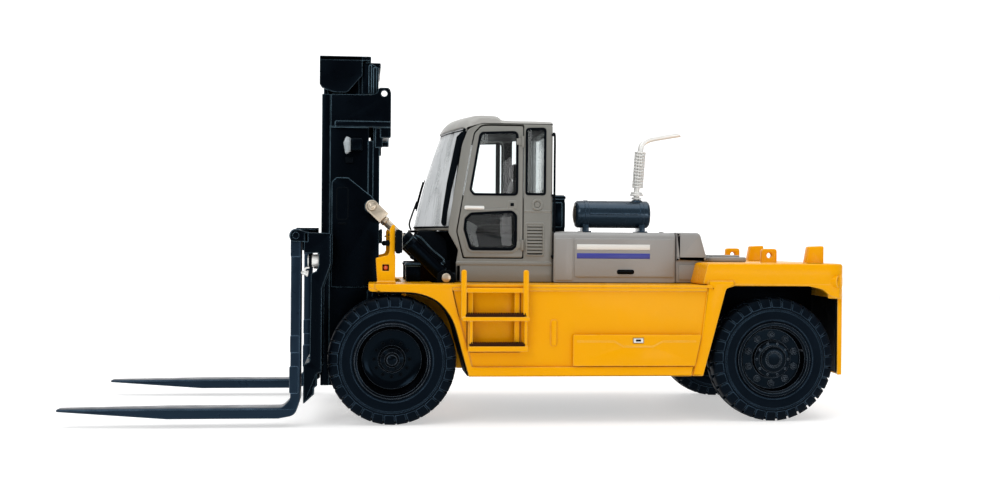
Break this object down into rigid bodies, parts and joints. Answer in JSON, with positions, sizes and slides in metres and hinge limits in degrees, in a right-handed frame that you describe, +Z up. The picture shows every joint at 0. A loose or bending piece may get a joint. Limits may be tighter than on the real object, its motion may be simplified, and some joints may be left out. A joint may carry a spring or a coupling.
{
  "type": "toy forklift truck",
  "caption": "Die-cast style heavy counterbalance forklift with telescoping mast, sliding forks, tilt cylinders, steering rear axle, rolling wheels and an opening cab door.",
  "frame": {"origin": "on the ground under the middle of the overall length and width", "axes": "-X the way the forks point, +X towards the counterweight, -Y the driver's left, +Z up"},
  "size_m": [0.212, 0.082, 0.1002],
  "materials": {
    "yellow_paint": "gloss",
    "grey_paint": "satin",
    "black_paint": "satin",
    "black_plastic": "matt",
    "rubber_tyre": "matt",
    "bright_metal": "polished",
    "steel": "brushed",
    "clear": "clear"
  },
  "bodies": {
    "chassis": {"chassis": "yellow_paint", "base_plate": "black_plastic", "counterweight": "yellow_paint", "hood": "grey_paint", "hood_rear": "grey_paint", "radiator_cover": "grey_paint", "muffler": "black_paint", "exhaust_stack": "bright_metal", "air_cleaner": "black_paint", "cab_shell": "grey_paint", "cab_roof": "grey_paint", "cab_glass": "clear", "cab_base": "black_plastic", "driver_seat": "black_plastic", "steering_wheel": "black_plastic", "wiper": "black_paint", "ladder_left": "yellow_paint", "ladder_right": "yellow_paint", "tool_box_left": "yellow_paint", "tool_box_right": "yellow_paint", "lamp_bracket_left": "yellow_paint", "lamp_bracket_right": "yellow_paint", "mirror_left": "black_plastic", "mirror_right": "black_plastic", "front_axle": "black_plastic", "rear_axle": "black_plastic", "tilt_cross_member": "black_plastic", "tilt_pin_left": "steel", "tilt_pin_right": "steel"},
    "cab_door": {"cab_door": "grey_paint", "door_glass": "clear"},
    "outer_mast": {"outer_mast": "black_paint", "lift_cylinder_left": "black_paint", "lift_cylinder_right": "black_paint", "mast_lamp_left": "black_plastic", "mast_lamp_right": "black_plastic"},
    "inner_mast": {"inner_mast": "black_paint", "lift_rod_left": "black_paint", "lift_rod_right": "black_paint"},
    "carriage": {"carriage": "black_paint", "fork_shaft": "steel"},
    "fork_left": {"fork_left": "black_paint"},
    "fork_right": {"fork_right": "black_paint"},
    "tie_rod": {"tie_rod": "black_plastic"},
    "tilt_cylinder_left": {"tilt_cylinder_left": "black_paint"},
    "tilt_rod_left": {"tilt_rod_left": "steel"},
    "front_wheel_left": {"front_tyre_outer_left": "rubber_tyre", "front_tyre_inner_left": "rubber_tyre", "front_rim_left": "black_paint"},
    "rear_wheel_left": {"rear_tyre_left": "rubber_tyre", "rear_rim_left": "black_paint"},
    "steering_knuckle_left": {"steering_knuckle_left": "black_plastic"},
    "tilt_cylinder_right": {"tilt_cylinder_right": "black_paint"},
    "tilt_rod_right": {"tilt_rod_right": "steel"},
    "front_wheel_right": {"front_tyre_outer_right": "rubber_tyre", "front_tyre_inner_right": "rubber_tyre", "front_rim_right": "black_paint"},
    "rear_wheel_right": {"rear_tyre_right": "rubber_tyre", "rear_rim_right": "black_paint"},
    "steering_knuckle_right": {"steering_knuckle_right": "black_plastic"}
  },
  "joints": [
    {"name": "mast_tilt", "type": "hinge", "parent": "chassis", "child": "outer_mast", "pos_m": [-0.02, 0, 0.0171], "axis": [0, 1, 0], "range_deg": [-2.5, 8]},
    {"name": "mast_lift", "type": "slide", "parent": "outer_mast", "child": "inner_mast", "axis": [0, 0, 1], "range_m": [0, 0.043]},
    {"name": "carriage_lift", "type": "slide", "parent": "inner_mast", "child": "carriage", "axis": [0, 0, 1], "range_m": [0, 0.043]},
    {"name": "fork_left_shift", "type": "slide", "parent": "carriage", "child": "fork_left", "axis": [0, 1, 0], "range_m": [0, 0.024]},
    {"name": "fork_right_shift", "type": "slide", "parent": "carriage", "child": "fork_right", "axis": [0, 1, 0], "range_m": [-0.024, 0]},
    {"name": "cab_door_hinge", "type": "hinge", "parent": "chassis", "child": "cab_door", "pos_m": [0.0164, -0.02055, 0.062], "axis": [0, 0, 1], "range_deg": [0, 80]},
    {"name": "tilt_cylinder_left_pivot", "type": "hinge", "parent": "chassis", "child": "tilt_cylinder_left", "pos_m": [-0.0051, -0.021, 0.0389], "axis": [0, 1, 0], "range_deg": [-3.5, 10]},
    {"name": "tilt_rod_left_slide", "type": "slide", "parent": "tilt_cylinder_left", "child": "tilt_rod_left", "axis": [-0.7246, 0, 0.6892], "range_m": [-0.0038, 0.0014]},
    {"name": "front_wheel_left_spin", "type": "hinge", "parent": "chassis", "child": "front_wheel_left", "pos_m": [-0.02, -0.028, 0.0171], "axis": [0, 1, 0], "continuous": true},
    {"name": "tilt_cylinder_right_pivot", "type": "hinge", "parent": "chassis", "child": "tilt_cylinder_right", "pos_m": [-0.0051, 0.021, 0.0389], "axis": [0, 1, 0], "range_deg": [-3.5, 10]},
    {"name": "tilt_rod_right_slide", "type": "slide", "parent": "tilt_cylinder_right", "child": "tilt_rod_right", "axis": [-0.7246, 0, 0.6892], "range_m": [-0.0038, 0.0014]},
    {"name": "front_wheel_right_spin", "type": "hinge", "parent": "chassis", "child": "front_wheel_right", "pos_m": [-0.02, 0.028, 0.0171], "axis": [0, 1, 0], "continuous": true},
    {"name": "steer_left", "type": "hinge", "parent": "chassis", "child": "steering_knuckle_left", "pos_m": [0.0846, -0.028, 0.0171], "axis": [0, 0, 1], "range_deg": [-25, 25]},
    {"name": "rear_wheel_left_spin", "type": "hinge", "parent": "steering_knuckle_left", "child": "rear_wheel_left", "pos_m": [0.0846, -0.0302, 0.0171], "axis": [0, 1, 0], "continuous": true},
    {"name": "steer_right", "type": "hinge", "parent": "chassis", "child": "steering_knuckle_right", "pos_m": [0.0846, 0.028, 0.0171], "axis": [0, 0, 1], "range_deg": [-25, 25]},
    {"name": "rear_wheel_right_spin", "type": "hinge", "parent": "steering_knuckle_right", "child": "rear_wheel_right", "pos_m": [0.0846, 0.0302, 0.0171], "axis": [0, 1, 0], "continuous": true},
    {"name": "tie_rod_pivot", "type": "hinge", "parent": "steering_knuckle_left", "child": "tie_rod", "pos_m": [0.089, -0.028, 0.01255], "axis": [0, 0, 1], "range_deg": [-26, 26]}
  ],
  "couplings": [
    {"joint": "carriage_lift", "follows": "mast_lift", "ratio": 1},
    {"joint": "tilt_cylinder_left_pivot", "follows": "mast_tilt", "ratio": 1.2},
    {"joint": "tilt_rod_left_slide", "follows": "mast_tilt", "m_per_rad": -0.0258},
    {"joint": "tilt_cylinder_right_pivot", "follows": "mast_tilt", "ratio": 1.2},
    {"joint": "tilt_rod_right_slide", "follows": "mast_tilt", "m_per_rad": -0.0258},
    {"joint": "steer_right", "follows": "steer_left", "ratio": 1},
    {"joint": "tie_rod_pivot", "follows": "steer_left", "ratio": -1}
  ]
}
